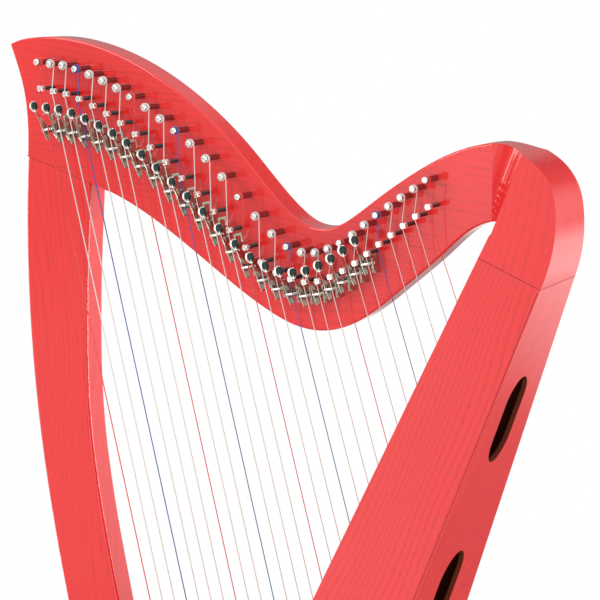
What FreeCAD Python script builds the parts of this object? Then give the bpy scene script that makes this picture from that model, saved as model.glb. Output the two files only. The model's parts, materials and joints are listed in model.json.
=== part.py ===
"""Small lever harp with 29 strings, 24 sharping levers and a red lacquered ash frame.

Millimetres. +Z is up and the floor is z = 0. The strings and the frame lie along the
XZ plane: the column stands at -X and the soundbox leans towards the player at +X.
The levers are on the -Y face of the neck, which is the player's left. The frame is
symmetric about y = 0, and x = 0 is the middle of the whole harp.
"""
import FreeCAD, Part
import math
import os
from FreeCAD import Vector

# Driving dimensions of the frame
NECK_HALF = 17.0            # half the thickness of the neck and the column
FRAME_EDGE = 2.0            # round on the long edges of the neck
COLUMN_EDGE = 4.0           # round on the long edges of the column
FOOT_HEIGHT = 5.0
BASE_THICKNESS = 20.0
BASE_TOP = FOOT_HEIGHT + BASE_THICKNESS
NECK_END_X = 233.0          # plane where the neck meets the shoulder block

# Soundbox: s runs down along the soundboard, p runs from the soundboard to the player
SLANT_DEG = 23.63           # soundboard's angle from vertical
BOX_TOP = Vector(233.1, 0.0, 808.1)     # front end of the seam under the shoulder block
BOX_HALF_WIDTH = 53.5       # at the seam
BOX_WIDENING = 0.134        # half width gained for each mm down the box
BOX_DEPTH = 67.0            # at the seam
BOX_DEEPENING = 0.075
SOUNDBOARD_THICKNESS = 4.5
SIDE_THICKNESS = 7.0
BACK_THICKNESS = 5.0
SHOULDER_TAPER = 0.155      # half width that the shoulder block loses for each mm up
BOX_CUT_LENGTH = 900.0      # box walls are made this long, then cut level with the base

# Strings
STRING_COUNT = 29
LEVER_COUNT = 24
STRING_LEAN_DEG = 11.5      # strings lean this much from vertical
FIRST_HOLE_S = 77.2         # soundboard hole of the shortest string
HOLE_SPACING = 24.93
LENGTH_AT = [(1, 873.6), (4, 793.8), (8, 665.7), (12, 513.0), (16, 354.0), (19, 266.9),
             (22, 210.7), (25, 169.5), (29, 115.5)]
PIN_RISE_AT = [(1, 27.2), (5, 32.0), (9, 40.5), (12, 51.5), (14, 53.5), (16, 46.0),
               (18, 32.0), (21, 27.3), (25, 28.0), (29, 25.5)]
PIN_SHIFT = 2.3             # tuning pins stand this far right of the bridge pins
STRING_STANDOFF = 23.5      # from the neck face to the string at the bridge pin
THICKEST_STRING = 0.60      # radius of string 1
THINNEST_STRING = 0.33      # radius of string 29

# Hardware
RUNNING_CLEARANCE = 0.05
TUNING_PIN_RADIUS = 3.25
TUNING_PIN_OUT = 28.5       # length standing out of the string side
TUNING_KEY_END_OUT = 15.0   # squared end standing out of the other side
TUNING_KEY_SQUARE = 4.5
WINDING_LENGTH = 6.0
WINDING_GAP = 0.06          # between a string and the surfaces of its winding's sleeve
BRIDGE_WAIST_RADIUS = 1.8
BRIDGE_SHAFT_RADIUS = 2.0
BRIDGE_HEAD_RADIUS = 3.1
BRIDGE_PIN_OUT = 27.2
BRIDGE_PIN_DEPTH = 18.0     # length threaded into the neck

# Sharping levers, in lever axes: t across the string, u up along it, n out of the neck
FRET_START = 2.0            # fret distance from the bridge pin is this plus a share of the length
FRET_SHARE = 0.046
LEVER_AXLE_OUT = 12.5       # height of the axle above the neck face
LEVER_AXLE_RADIUS = 1.3
LEVER_BAR_OUT = 19.1        # height of the fret bar while the lever is up
LEVER_BAR_RADIUS = 1.4
LEVER_ARM_T = -7.5          # middle of the arm's thickness
LEVER_SHEET = 1.2
SPOON_T = -4.6              # the spoon reaches from the arm towards the string
SPOON_RADIUS = 5.1
LONG_BRACKETS = 14          # strings with room for the longer bracket

SLANT = math.radians(SLANT_DEG)
DOWN_BOX = Vector(-math.sin(SLANT), 0, -math.cos(SLANT))
TO_PLAYER = Vector(math.cos(SLANT), 0, -math.sin(SLANT))
LEAN = math.radians(STRING_LEAN_DEG)
UP_STRING = Vector(-math.sin(LEAN), 0, math.cos(LEAN))
ACROSS = Vector(math.cos(LEAN), 0, math.sin(LEAN))
OUTWARD = Vector(0, -1, 0)
Y_AXIS = Vector(0, 1, 0)


def save(name, shapes):
    """Writes one node: a list of separate solids, or a single solid."""
    solids = []
    for shape in shapes if isinstance(shapes, list) else [shapes]:
        solids.extend(shape.removeSplitter().Solids)
    body = solids[0] if len(solids) == 1 else Part.makeCompound(solids)
    body.exportStep(os.path.join("parts", name + ".step"))


def interpolate(table, k):
    """Smooth curve through the (key, value) pairs of a table, read at k."""
    keys = [pair[0] for pair in table]
    values = [pair[1] for pair in table]
    last = len(table) - 1

    def slope(i):
        low, high = max(i - 1, 0), min(i + 1, last)
        return (values[high] - values[low]) / (keys[high] - keys[low])

    i = max(j for j in range(last) if keys[j] <= k or j == 0)
    span = keys[i + 1] - keys[i]
    f = (k - keys[i]) / span
    return (values[i] * (2 * f**3 - 3 * f**2 + 1)
            + slope(i) * span * (f**3 - 2 * f**2 + f)
            + values[i + 1] * (3 * f**2 - 2 * f**3)
            + slope(i + 1) * span * (f**3 - f**2))


def at(x, z):
    return Vector(x, 0, z)


def spline(points):
    """Smooth edge in the XZ plane through (x, z) points."""
    curve = Part.BSplineCurve()
    curve.interpolate([at(x, z) for x, z in points])
    return curve.toShape()


def line(a, b):
    return Part.LineSegment(at(*a), at(*b)).toShape()


def slab(edges, low_y, high_y):
    """Solid of an outline in the XZ plane between two values of y."""
    face = Part.Face(Part.Wire(Part.__sortEdges__(edges)))
    face.translate(Vector(0, low_y, 0))
    return face.extrude(Vector(0, high_y - low_y, 0))


def curved_edges(shape):
    """Curved edges of both flat faces of the neck or the column."""
    return [edge for edge in shape.Edges
            if edge.BoundBox.YLength < 1e-4 and edge.Curve.TypeId != "Part::GeomLine"]


def placed(shape, origin, x_axis, y_axis):
    """Copy of a shape moved from local axes to the harp's axes."""
    z_axis = x_axis.cross(y_axis)
    matrix = FreeCAD.Matrix(x_axis.x, y_axis.x, z_axis.x, origin.x,
                            x_axis.y, y_axis.y, z_axis.y, origin.y,
                            x_axis.z, y_axis.z, z_axis.z, origin.z,
                            0, 0, 0, 1)
    return shape.transformed(matrix, True)


def in_box(shape):
    """Soundbox pieces are made in (s, y, p) and placed on the slanted soundboard."""
    return placed(shape, BOX_TOP, DOWN_BOX, Y_AXIS)


def rod(radius, start, end):
    axis = end - start
    return Part.makeCylinder(radius, axis.Length, start, axis)


def cut_all(shape, tools):
    return shape.cut(tools) if tools else shape


# ---- string and pin layout ----

def hole_s(k):
    return FIRST_HOLE_S + HOLE_SPACING * (STRING_COUNT - k)


RIB_FRONT = 3.0             # outer string rib stands this far in front of the soundboard
RIB_BACK = 4.0              # inner rib's thickness behind the soundboard
EYELET_FLANGE = 0.8
EYELET_FLANGE_RADIUS = 3.6
EYELET_RADIUS = 2.3
EYELET_BORE = 1.3


def string_radius(k):
    share = (k - 1) / (STRING_COUNT - 1)
    return THICKEST_STRING + (THINNEST_STRING - THICKEST_STRING) * share


def string_foot(k):
    """Where a string bends into its eyelet, in the harp's axes."""
    return BOX_TOP + DOWN_BOX * hole_s(k) - TO_PLAYER * (RIB_FRONT + EYELET_FLANGE)


def bridge_contact(k):
    """Middle of the string beside its bridge pin."""
    top = string_foot(k) + UP_STRING * interpolate(LENGTH_AT, k)
    return Vector(top.x, -(NECK_HALF + STRING_STANDOFF), top.z)


def bridge_centre(k):
    """Axis of a bridge pin: the string passes on its column side."""
    return bridge_contact(k) + ACROSS * (BRIDGE_WAIST_RADIUS + string_radius(k) + 0.1)


def tuning_centre(k):
    return bridge_centre(k) + UP_STRING * interpolate(PIN_RISE_AT, k) + ACROSS * PIN_SHIFT


def on_neck(point, out):
    """The same place at a height above the string face of the neck."""
    return Vector(point.x, -(NECK_HALF + out), point.z)


def winding_radius(k):
    return TUNING_PIN_RADIUS + RUNNING_CLEARANCE + 2 * (string_radius(k) + WINDING_GAP)


def fret_origin(k):
    """Point of the neck face under the place where the fret bar crosses the string."""
    contact = bridge_contact(k)
    foot = string_foot(k)
    distance = FRET_START + FRET_SHARE * interpolate(LENGTH_AT, k)
    point = contact + (foot - contact).normalize() * distance
    return on_neck(point, 0)


# ---- wooden frame ----

NECK_TOP = [(-305.5, 1000.4), (-293, 1004.9), (-270, 1008), (-249, 1008.4), (-219.7, 1004.8),
            (-172.2, 990.8), (-125, 967.3), (-79.9, 935.9), (-38, 897.8), (-5, 862),
            (20.6, 837.4), (38, 826.2), (53.5, 823), (69, 825.2), (87, 834.8), (113.5, 854.6),
            (149, 879.4), (174.7, 894.6), (203, 906.8), (NECK_END_X, 913.2)]
NECK_BOTTOM = [(NECK_END_X, 838.5), (221.3, 834.6), (181, 802.2), (139.5, 766.5), (110, 742.5),
               (82, 726.5), (53.7, 720.2), (28, 723.2), (0, 734.6), (-50, 765.5),
               (-104.3, 803.4), (-150.9, 832.3), (-188.3, 849.8)]
NECK_TIP_SIDE = [(-286.9, 883.6), (-286.2, 905), (-287.3, 933), (-291.5, 958), (-298, 979.5),
                 (-305.5, 1000.4)]
JOINT_SLOPE = ((NECK_BOTTOM[-1][1] - NECK_TIP_SIDE[0][1])
               / (NECK_BOTTOM[-1][0] - NECK_TIP_SIDE[0][0]))
JOINT_INNER = (-210.4, NECK_TIP_SIDE[0][1] + (-210.4 - NECK_TIP_SIDE[0][0]) * JOINT_SLOPE)
COLUMN_FOOT_Z = 55.0        # height where the column's inner edge meets the soundboard


def soundboard_x(z):
    """X of the soundboard's front face at a height."""
    return BOX_TOP.x - (BOX_TOP.z - z) * math.tan(SLANT)


COLUMN_INNER = [JOINT_INNER, (-213.2, 812), (-216, 760), (-217.6, 705), (-217.5, 650),
                (-214.5, 594), (-208, 540), (-198, 480), (-186, 420), (-171.4, 350),
                (-146, 250), (-120.5, 150), (soundboard_x(COLUMN_FOOT_Z), COLUMN_FOOT_Z)]
COLUMN_OUTER = [(-156.4, BASE_TOP), (-188.4, 150), (-213.4, 250), (-236.4, 350), (-254, 432),
                (-265.5, 495), (-275.5, 560), (-283.5, 630), (-288.8, 705), (-290.6, 780),
                (-289.6, 836), NECK_TIP_SIDE[0]]
SHOULDER_BACK = [(NECK_END_X, 913.2), (251, 911.4), (268.5, 904.6), (285.5, 893.2), (296.5, 879.5),
                 (303, 863), (305.2, 843), (303.6, 815)]
SHOULDER_FRONT_TOP = (247.5, 841.0)     # where the soundboard plane meets the neck's underside
COVE_TOP = (268.5, 903.5)
DOWEL_RADIUS = 5.0


def half_width(s):
    return BOX_HALF_WIDTH + (BOX_WIDENING if s > 0 else SHOULDER_TAPER) * s


def depth(s):
    return BOX_DEPTH + BOX_DEEPENING * s


def joint_dowels():
    """Dowels as (middle, direction, half length)."""
    column_joint = Vector(-0.325, 0, -0.946)
    dowels = []
    for x, z in ((-268, 877.2), (-233, 865.1)):
        dowels.append((at(x, z), column_joint, 22.0))
    for z in (858.0, 893.0):
        dowels.append((at(NECK_END_X, z), Vector(1, 0, 0), 20.0))
    for y in (-20.0, 20.0):
        dowels.append((BOX_TOP + TO_PLAYER * 38 + Vector(0, y, 0), DOWN_BOX, 16.0))
    for x in (-142, -122):
        dowels.append((at(x, BASE_TOP), Vector(0, 0, 1), 14.0))
    return dowels


def dowel_solids():
    return [rod(DOWEL_RADIUS, middle - axis * half, middle + axis * half)
            for middle, axis, half in joint_dowels()]


def make_neck():
    """Made past its joint with the column, rounded, then cut off along the joint."""
    joint_outer, joint_inner = NECK_TIP_SIDE[0], NECK_BOTTOM[-1]
    spare_outer = (joint_outer[0] - 1, joint_outer[1] - 30)
    spare_inner = (joint_inner[0] - 6, joint_inner[1] - 30)
    edges = [spline(NECK_TOP), line(NECK_TOP[-1], NECK_BOTTOM[0]), spline(NECK_BOTTOM),
             line(joint_inner, spare_inner), line(spare_inner, spare_outer),
             line(spare_outer, joint_outer), spline(NECK_TIP_SIDE)]
    neck = slab(edges, -NECK_HALF, NECK_HALF)
    neck = neck.makeFillet(FRAME_EDGE, curved_edges(neck))
    offcut = [line(joint_outer, joint_inner), line(joint_inner, (-150, 700)),
              line((-150, 700), (-320, 700)), line((-320, 700), (-320, 894.93)),
              line((-320, 894.93), joint_outer)]
    neck = neck.cut(slab(offcut, -30, 30))
    tools = list(dowel_solids())
    for k in range(1, STRING_COUNT + 1):
        centre = tuning_centre(k)
        tools.append(rod(TUNING_PIN_RADIUS + RUNNING_CLEARANCE, on_neck(centre, 5),
                         Vector(centre.x, NECK_HALF + 5, centre.z)))
        tools.append(rod(BRIDGE_SHAFT_RADIUS, on_neck(bridge_centre(k), 5),
                         on_neck(bridge_centre(k), -BRIDGE_PIN_DEPTH)))
    for k in range(1, LEVER_COUNT + 1):
        for u in screw_places(k):
            tools.append(in_lever(k, screw_hole(u)))
    return cut_all(neck, tools)


def make_column():
    foot_inner = (soundboard_x(BASE_TOP), BASE_TOP)
    edges = [line(NECK_TIP_SIDE[0], JOINT_INNER), spline(COLUMN_INNER),
             line(COLUMN_INNER[-1], foot_inner), line(foot_inner, COLUMN_OUTER[0]),
             spline(COLUMN_OUTER)]
    column = slab(edges, -NECK_HALF, NECK_HALF)
    column = column.makeFillet(COLUMN_EDGE, curved_edges(column))
    return cut_all(column, dowel_solids())


def cove_section(z, side):
    """Level section of the space left by the cove between the neck and a shoulder side."""
    share = (z - SHOULDER_FRONT_TOP[1]) / (COVE_TOP[1] - SHOULDER_FRONT_TOP[1])
    corner_x = SHOULDER_FRONT_TOP[0] + (COVE_TOP[0] - SHOULDER_FRONT_TOP[0]) * share
    s = (at(corner_x, z) - at(BOX_TOP.x, BOX_TOP.z)).dot(DOWN_BOX)
    corner_y = half_width(s)
    across = corner_x - NECK_END_X
    out = corner_y - NECK_HALF
    bend = math.sqrt(0.5)
    start = Vector(NECK_END_X, side * NECK_HALF, z)
    middle = Vector(NECK_END_X + across * bend, side * (NECK_HALF + out * (1 - bend)), z)
    end = Vector(corner_x, side * corner_y, z)
    far = Vector(corner_x, side * 90, z)
    back = Vector(NECK_END_X - 12, side * 90, z)
    near = Vector(NECK_END_X - 12, side * NECK_HALF, z)
    edges = [Part.Arc(start, middle, end).toShape()]
    for a, b in ((end, far), (far, back), (back, near), (near, start)):
        edges.append(Part.LineSegment(a, b).toShape())
    return Part.Wire(edges)


def side_wedge(taper):
    """Everything between the two side planes of the box or the shoulder block."""
    length, reach = 260.0, 220.0
    bottom = BOX_HALF_WIDTH
    top = BOX_HALF_WIDTH - taper * length
    corners = [Vector(0, -bottom, -reach), Vector(0, bottom, -reach),
               Vector(-length, top, -reach), Vector(-length, -top, -reach)]
    face = Part.Face(Part.makePolygon(corners + corners[:1]))
    return in_box(face.extrude(Vector(0, 0, 2 * reach)))


def make_shoulder():
    seam_back = BOX_TOP + TO_PLAYER * BOX_DEPTH
    seam_front = (BOX_TOP.x, BOX_TOP.z)
    back = SHOULDER_BACK + [(seam_back.x, seam_back.z)]
    edges = [line(seam_front, SHOULDER_FRONT_TOP), line(SHOULDER_FRONT_TOP, NECK_BOTTOM[0]),
             line(NECK_BOTTOM[0], NECK_TOP[-1]), spline(back), line(back[-1], seam_front)]
    block = slab(edges, -90, 90).common(side_wedge(SHOULDER_TAPER))
    coves = [Part.makeLoft([cove_section(830, side), cove_section(930, side)], True, True)
             for side in (-1, 1)]
    return cut_all(block, coves + dowel_solids())


# ---- soundbox ----

def box_wall(section, start=0.0, end=BOX_CUT_LENGTH):
    """Wall between two stations; section(s) gives its corners as (y, p) pairs."""
    wires = []
    for s in (start, end):
        corners = [Vector(s, y, p) for y, p in section(s)]
        wires.append(Part.makePolygon(corners + corners[:1]))
    return in_box(Part.makeLoft(wires, True, True))


def above_base(shape):
    keep = Part.makeBox(900, 600, 1200, Vector(-450, -300, BASE_TOP))
    return shape.common(keep)


def inner_edge(s):
    return half_width(s) - SIDE_THICKNESS


def make_side(side):
    def section(s):
        low, high = SOUNDBOARD_THICKNESS, depth(s) - BACK_THICKNESS
        return [(side * half_width(s), low), (side * inner_edge(s), low),
                (side * inner_edge(s), high), (side * half_width(s), high)]
    return above_base(box_wall(section))


def string_bores(radius, low_p, high_p):
    return [in_box(rod(radius, Vector(hole_s(k), 0, low_p), Vector(hole_s(k), 0, high_p)))
            for k in range(1, STRING_COUNT + 1)]


def make_soundboard():
    def section(s):
        w = half_width(s)
        return [(-w, 0), (w, 0), (w, SOUNDBOARD_THICKNESS), (-w, SOUNDBOARD_THICKNESS)]
    return cut_all(above_base(box_wall(section)), string_bores(EYELET_RADIUS, -20, 20))


SOUND_HOLES = [(146.0, 92.0, 52.0), (345.0, 106.0, 60.0), (560.0, 120.0, 68.0)]   # s, length, width


def sound_hole(s, length, width):
    """Cutter for one long rounded hole through the back panel."""
    radius = width / 2
    straight = length / 2 - radius
    a, b = Vector(-straight, -radius, 0), Vector(straight, -radius, 0)
    c, d = Vector(straight, radius, 0), Vector(-straight, radius, 0)
    edges = [Part.LineSegment(a, b).toShape(),
             Part.Arc(b, Vector(straight + radius, 0, 0), c).toShape(),
             Part.LineSegment(c, d).toShape(),
             Part.Arc(d, Vector(-straight - radius, 0, 0), a).toShape()]
    cutter = Part.Face(Part.Wire(edges)).extrude(Vector(0, 0, 40))
    along = Vector(1, 0, BOX_DEEPENING).normalize()
    return in_box(placed(cutter, Vector(s, 0, depth(s) - 20), along, Y_AXIS))


def make_back():
    def section(s):
        w = half_width(s)
        return [(-w, depth(s) - BACK_THICKNESS), (w, depth(s) - BACK_THICKNESS),
                (w, depth(s)), (-w, depth(s))]
    panel = above_base(box_wall(section))
    return cut_all(panel, [sound_hole(*hole) for hole in SOUND_HOLES])


def make_top_block():
    """Block that closes the top end of the box and takes the shoulder's dowels."""
    def section(s):
        low, high = SOUNDBOARD_THICKNESS, depth(s) - BACK_THICKNESS
        return [(-inner_edge(s), low), (inner_edge(s), low), (inner_edge(s), high),
                (-inner_edge(s), high)]
    return cut_all(box_wall(section, 0, 26), dowel_solids())


TAIL_BLOCK_HEIGHT = 26.0


def make_tail_block():
    """Block inside the bottom of the box, glued to the base board."""
    def section(s):
        low, high = SOUNDBOARD_THICKNESS, depth(s) - BACK_THICKNESS
        return [(-inner_edge(s), low), (inner_edge(s), low), (inner_edge(s), high),
                (-inner_edge(s), high)]
    full = box_wall(section, 500)
    keep = Part.makeBox(900, 600, TAIL_BLOCK_HEIGHT, Vector(-450, -300, BASE_TOP))
    return full.common(keep)


def rib(low_p, high_p, width_top, width_bottom, start, end):
    def section(s):
        half = (width_top + (width_bottom - width_top) * s / 800.0) / 2
        return [(-half, low_p), (half, low_p), (half, high_p), (-half, high_p)]
    return cut_all(box_wall(section, start, end), string_bores(EYELET_RADIUS, -20, 20))


def make_outer_rib():
    return rib(-RIB_FRONT, 0, 12.0, 20.0, 22, 800)


def make_inner_rib():
    low = SOUNDBOARD_THICKNESS
    return rib(low, low + RIB_BACK, 22.0, 46.0, 26, 806)


def lining(side, low_p_of, end, size=7.0):
    """Corner strip between a side and the soundboard or the back."""
    def section(s):
        edge = inner_edge(s) * side
        low = low_p_of(s)
        return [(edge, low), (edge - side * size, low), (edge - side * size, low + size),
                (edge, low + size)]
    return box_wall(section, 26, end)


def make_linings(low_p_of, end):
    return [lining(side, low_p_of, end) for side in (-1, 1)]


BRACE_PLACES = (60.0, 242.0, 448.0, 672.0)


def make_back_braces():
    """Cross bars on the inside of the back panel, between its sound holes."""
    braces = []
    for s in BRACE_PLACES:
        half = inner_edge(s) - 8.5
        high = depth(s) - BACK_THICKNESS - 0.8
        bar = Part.makeBox(10, 2 * half, 14, Vector(s - 5, -half, high - 14))
        braces.append(in_box(bar))
    return braces


def make_eyelets():
    flange = Part.makeCylinder(EYELET_FLANGE_RADIUS, EYELET_FLANGE, Vector(0, 0, -EYELET_FLANGE))
    tube = Part.makeCylinder(EYELET_RADIUS, RIB_FRONT + SOUNDBOARD_THICKNESS, Vector(0, 0, 0))
    bore = Part.makeCylinder(EYELET_BORE, 30, Vector(0, 0, -10))
    eyelet = flange.fuse(tube).cut(bore).removeSplitter()
    return [in_box(placed(eyelet, Vector(hole_s(k), 0, -RIB_FRONT), Vector(1, 0, 0), Y_AXIS))
            for k in range(1, STRING_COUNT + 1)]


KNOT_LENGTH = 4.0
KNOT_RADIUS = 2.9


def knot_p():
    return SOUNDBOARD_THICKNESS + RIB_BACK


def make_knots():
    """Anchor beads that the strings are tied round behind the inner rib."""
    knots = []
    for k in range(1, STRING_COUNT + 1):
        bead = rod(KNOT_RADIUS, Vector(hole_s(k), 0, knot_p()),
                   Vector(hole_s(k), 0, knot_p() + KNOT_LENGTH))
        hole = rod(string_radius(k), Vector(hole_s(k), 0, 0), Vector(hole_s(k), 0, 30))
        knots.append(in_box(bead.cut(hole)))
    return knots


# ---- base ----

BASE_FRONT_CORNER = (-124.0, 172.0)
BASE_BACK_CORNER = (34.0, 165.0)
BASE_NOSE_X = -184.0
BASE_HEEL_X = 42.0
BASE_EDGE = 4.0
FOOT_PLACES = ((-104.0, 138.0), (14.0, 134.0))
FOOT_RADIUS = 11.0
FOOT_SCREW_RADIUS = 2.0
FOOT_SCREW_HEAD = 4.0


def foot_centres():
    return [(x, side * y) for x, y in FOOT_PLACES for side in (-1, 1)]


def foot_screw(x, y):
    shaft = Part.makeCylinder(FOOT_SCREW_RADIUS, 16, Vector(x, y, 3))
    head = Part.makeCylinder(FOOT_SCREW_HEAD, 2, Vector(x, y, 1.5))
    return head.fuse(shaft).removeSplitter()


def make_base():
    fx, fy = BASE_FRONT_CORNER
    bx, by = BASE_BACK_CORNER
    corners = [Vector(fx, -fy, FOOT_HEIGHT), Vector(bx, -by, FOOT_HEIGHT),
               Vector(bx, by, FOOT_HEIGHT), Vector(fx, fy, FOOT_HEIGHT)]
    nose = Vector(BASE_NOSE_X, 0, FOOT_HEIGHT)
    heel = Vector(BASE_HEEL_X, 0, FOOT_HEIGHT)
    edges = [Part.LineSegment(corners[0], corners[1]).toShape(),
             Part.Arc(corners[1], heel, corners[2]).toShape(),
             Part.LineSegment(corners[2], corners[3]).toShape(),
             Part.Arc(corners[3], nose, corners[0]).toShape()]
    board = Part.Face(Part.Wire(edges)).extrude(Vector(0, 0, BASE_THICKNESS))
    board = board.makeFillet(BASE_EDGE, board.Edges)
    screws = [foot_screw(x, y) for x, y in foot_centres()]
    return cut_all(board, dowel_solids() + screws)


def make_feet():
    feet = []
    for x, y in foot_centres():
        pad = Part.makeCone(FOOT_RADIUS - 1.5, FOOT_RADIUS, FOOT_HEIGHT, Vector(x, y, 0))
        mouth = Part.makeCylinder(FOOT_SCREW_HEAD, 1.5, Vector(x, y, 0))
        feet.append(pad.cut([foot_screw(x, y), mouth]))
    return feet


# ---- pins and strings ----

def make_tuning_pin(k):
    centre = tuning_centre(k)
    pin = rod(TUNING_PIN_RADIUS, on_neck(centre, TUNING_PIN_OUT), Vector(centre.x, NECK_HALF, centre.z))
    pin = pin.makeFillet(1.6, [e for e in pin.Edges if abs(e.BoundBox.YMax + NECK_HALF + TUNING_PIN_OUT) < 0.01])
    hole = rod(1.0, on_neck(centre, 26.2) - Vector(6, 0, 0), on_neck(centre, 26.2) + Vector(6, 0, 0))
    half = TUNING_KEY_SQUARE / 2
    key_end = Part.makeBox(TUNING_KEY_SQUARE, TUNING_KEY_END_OUT, TUNING_KEY_SQUARE,
                           Vector(centre.x - half, NECK_HALF, centre.z - half))
    return pin.cut(hole).fuse(key_end)


def make_bridge_pins():
    pins = []
    for k in range(1, STRING_COUNT + 1):
        centre = bridge_centre(k)
        stages = [(BRIDGE_HEAD_RADIUS, BRIDGE_PIN_OUT - 2.0, BRIDGE_PIN_OUT),
                  (BRIDGE_WAIST_RADIUS, 22.0, BRIDGE_PIN_OUT - 2.0),
                  (BRIDGE_HEAD_RADIUS - 0.3, 19.5, 22.0),
                  (BRIDGE_SHAFT_RADIUS, -BRIDGE_PIN_DEPTH, 19.5)]
        solids = [rod(radius, on_neck(centre, low), on_neck(centre, high))
                  for radius, low, high in stages]
        pins.append(solids[0].fuse(solids[1:]))
    return pins


def make_string(k):
    """One string with its winding on the tuning pin and its straight runs."""
    radius = string_radius(k)
    pin = tuning_centre(k)
    turn = TUNING_PIN_RADIUS + RUNNING_CLEARANCE + WINDING_GAP + radius
    leave = on_neck(pin + Vector(turn, 0, 0), STRING_STANDOFF)
    contact = bridge_contact(k)
    foot = string_foot(k)
    inside = foot + TO_PLAYER * (knot_p() + KNOT_LENGTH + RIB_FRONT + EYELET_FLANGE)
    winding_top = STRING_STANDOFF + radius + WINDING_GAP
    winding = rod(winding_radius(k), on_neck(pin, winding_top - WINDING_LENGTH),
                  on_neck(pin, winding_top))
    bore = rod(TUNING_PIN_RADIUS + RUNNING_CLEARANCE, on_neck(pin, 0), on_neck(pin, 40))
    pieces = [rod(radius, leave, contact), rod(radius, contact, foot), rod(radius, foot, inside),
              Part.makeSphere(radius + 0.04, contact), Part.makeSphere(radius + 0.04, foot)]
    return winding.fuse(pieces).cut(bore)


# ---- sharping levers ----

def in_lever(k, shape):
    """Lever pieces are made in (t, u, n) and placed under their string."""
    return placed(shape, fret_origin(k), ACROSS, UP_STRING)


def plate(points, t_low, t_high):
    """Sheet standing across t, from (u, n) corners."""
    corners = [Vector(t_low, u, n) for u, n in points]
    return Part.Face(Part.makePolygon(corners + corners[:1])).extrude(Vector(t_high - t_low, 0, 0))


def screw_places(k):
    return (-7.0, -1.2) if k <= LONG_BRACKETS else (-7.0, 4.5)


SCREW_T = -1.5
SCREW_RADIUS = 1.2
SCREW_DEPTH = 11.0
SCREW_HEAD_RADIUS = 2.1
SCREW_HEAD_HEIGHT = 1.3


def screw_hole(u):
    return Part.makeCylinder(SCREW_RADIUS, SCREW_DEPTH + 5, Vector(SCREW_T, u, -SCREW_DEPTH))


def make_screw(u):
    shaft = Part.makeCylinder(SCREW_RADIUS, SCREW_DEPTH + LEVER_SHEET, Vector(SCREW_T, u, -SCREW_DEPTH))
    head = Part.makeCylinder(SCREW_HEAD_RADIUS, SCREW_HEAD_HEIGHT, Vector(SCREW_T, u, LEVER_SHEET))
    slot = Part.makeBox(0.6, 6, 2, Vector(SCREW_T - 0.3, u - 3, LEVER_SHEET + 0.7))
    return shaft.fuse(head).cut(slot)


BRACKET_LEFT = -6.2
BRACKET_RIGHT = 3.2
BRACKET_BOTTOM = -10.5
AXLE_LUG_RADIUS = 3.6


def make_bracket(long_form):
    """Sheet bracket: a base, a lug for the axle on the left and a wall on the right."""
    top = 16.5 if long_form else 7.5
    base = Part.makeBox(BRACKET_RIGHT - BRACKET_LEFT, top - BRACKET_BOTTOM, LEVER_SHEET,
                        Vector(BRACKET_LEFT, BRACKET_BOTTOM, 0))
    lug = plate([(-AXLE_LUG_RADIUS, 0), (AXLE_LUG_RADIUS, 0), (AXLE_LUG_RADIUS, LEVER_AXLE_OUT),
                 (-AXLE_LUG_RADIUS, LEVER_AXLE_OUT)], BRACKET_LEFT, BRACKET_LEFT + LEVER_SHEET)
    lug_top = Part.makeCylinder(AXLE_LUG_RADIUS, LEVER_SHEET, Vector(BRACKET_LEFT, 0, LEVER_AXLE_OUT),
                                Vector(1, 0, 0))
    wall = plate([(BRACKET_BOTTOM, 0), (7.5, 0), (7.5, 14.5), (5.0, 16.5), (-6.0, 16.5),
                  (BRACKET_BOTTOM, 12.0)], BRACKET_RIGHT - LEVER_SHEET, BRACKET_RIGHT)
    pieces = [lug, lug_top, wall]
    tools = [Part.makeCylinder(LEVER_AXLE_RADIUS + RUNNING_CLEARANCE, 20,
                               Vector(-10, 0, LEVER_AXLE_OUT), Vector(1, 0, 0))]
    if long_form:
        pieces.append(make_bow(top))
        tools.append(Part.makeBox(5.6, 10.5, 4, Vector(-4.2, 3.5, -1)))
    for u in ((-7.0, -1.2) if long_form else (-7.0, 4.5)):
        tools.append(screw_hole(u))
    return base.fuse(pieces).cut(tools)


def make_bow(top):
    """Rounded end tab at the upper end of a long bracket."""
    outer = Part.makeBox(4.6, LEVER_SHEET, 18.5, Vector(BRACKET_LEFT, top - LEVER_SHEET, 0))
    corner = [e for e in outer.Edges
              if abs(e.BoundBox.ZMin - 18.5) < 0.01 and e.BoundBox.YLength > 1.0 and e.BoundBox.XLength < 0.01]
    return outer.makeFillet(2.0, corner)


ARM_OUTLINE = [(-11.0, 9.0), (-11.0, 15.6), (2.0, 20.9), (12.0, 27.4), (18.5, 32.2), (24.0, 33.0),
               (24.0, 31.6), (19.0, 30.2), (12.0, 22.0), (4.5, 12.5), (0.0, 9.0)]
SPOON_U = 25.5
SPOON_N = 33.0


def make_lever():
    """Arm, spoon handle, fret bar and axle: they turn together."""
    half = LEVER_SHEET / 2
    arm = plate(ARM_OUTLINE, LEVER_ARM_T - half, LEVER_ARM_T + half)
    bar = Part.makeCylinder(LEVER_BAR_RADIUS, 1.6 - LEVER_ARM_T, Vector(LEVER_ARM_T, 0, LEVER_BAR_OUT),
                            Vector(1, 0, 0))
    axle = Part.makeCylinder(LEVER_AXLE_RADIUS, 3.8 - LEVER_ARM_T, Vector(LEVER_ARM_T, 0, LEVER_AXLE_OUT),
                             Vector(1, 0, 0))
    spoon = Part.makeCylinder(SPOON_RADIUS, 1.8, Vector(SPOON_T, SPOON_U, SPOON_N - 0.4))
    dish = Part.makeSphere(9.0, Vector(SPOON_T, SPOON_U, SPOON_N + 9.4))
    return arm.fuse([bar, axle, spoon]).cut(dish)


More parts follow.
